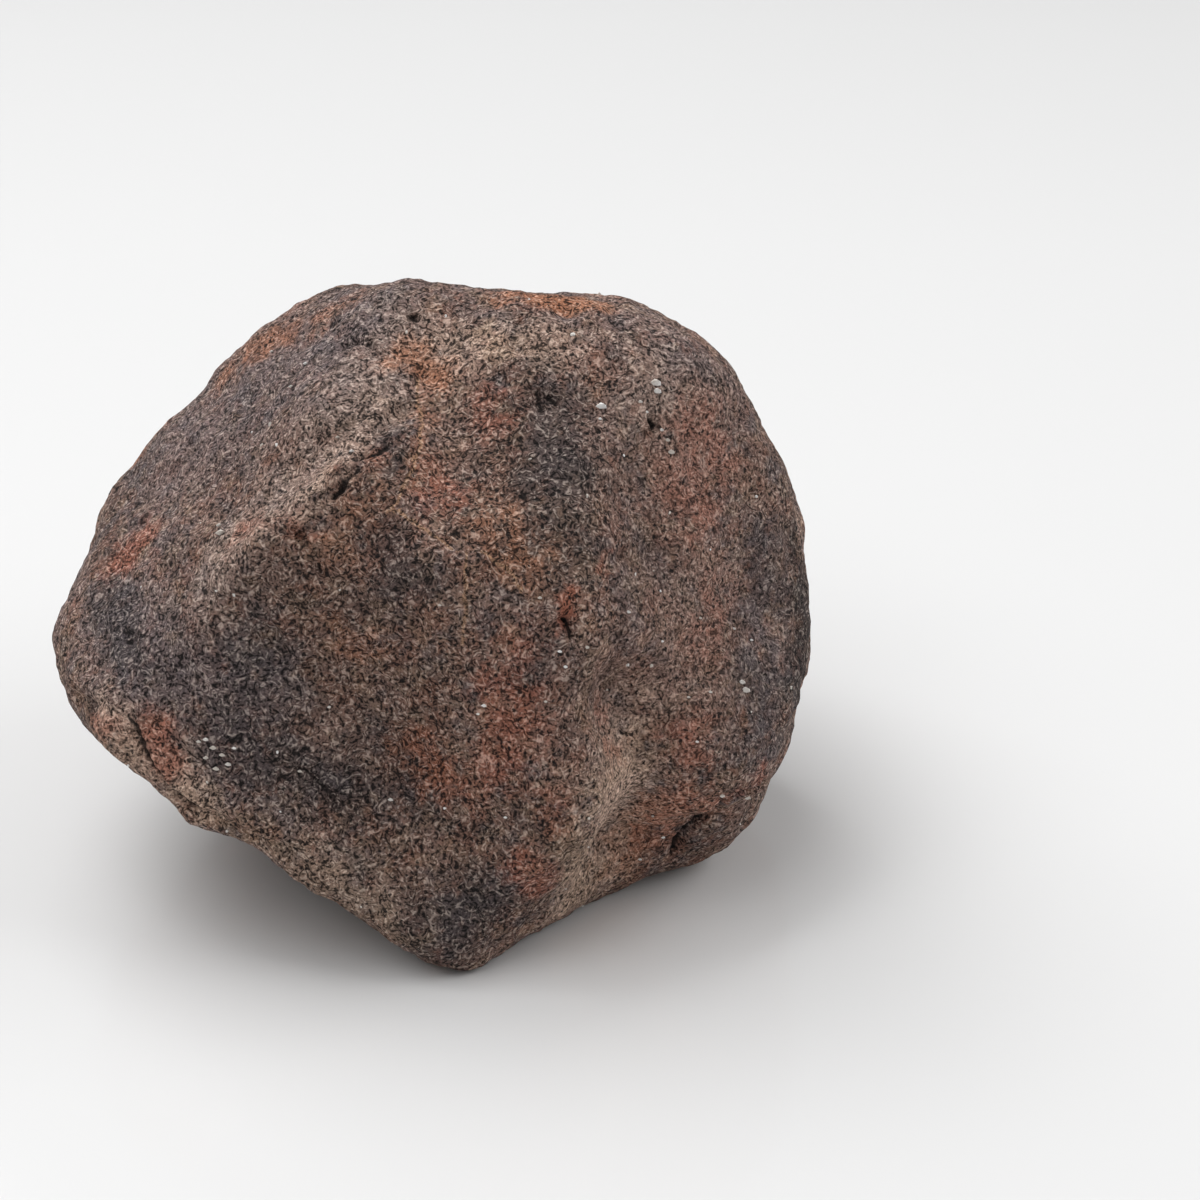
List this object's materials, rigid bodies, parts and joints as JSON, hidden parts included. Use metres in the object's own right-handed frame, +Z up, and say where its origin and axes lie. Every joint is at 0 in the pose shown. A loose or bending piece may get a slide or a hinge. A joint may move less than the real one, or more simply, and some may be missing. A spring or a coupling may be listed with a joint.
{
  "type": "chondrite meteorite",
  "caption": "Dark brown stony meteorite, a blunt ridged lump with a fine-pored rusty crust, that rests on a small flat spot; a specimen for display or study.",
  "frame": {"origin": "middle of the bottom of the bounding box, on the plane that the stone rests on", "axes": "+X along the longest extent, from the narrow end to the broad end; +Z up as the stone rests; the picture looks along +Y and down"},
  "size_m": [0.0274, 0.0246, 0.0218],
  "materials": {
    "crust": "matte, fine-pored stone crust, dark brown with rust and blue-black patches"
  },
  "bodies": {
    "root": {"stone": "crust"}
  },
  "joints": []
}
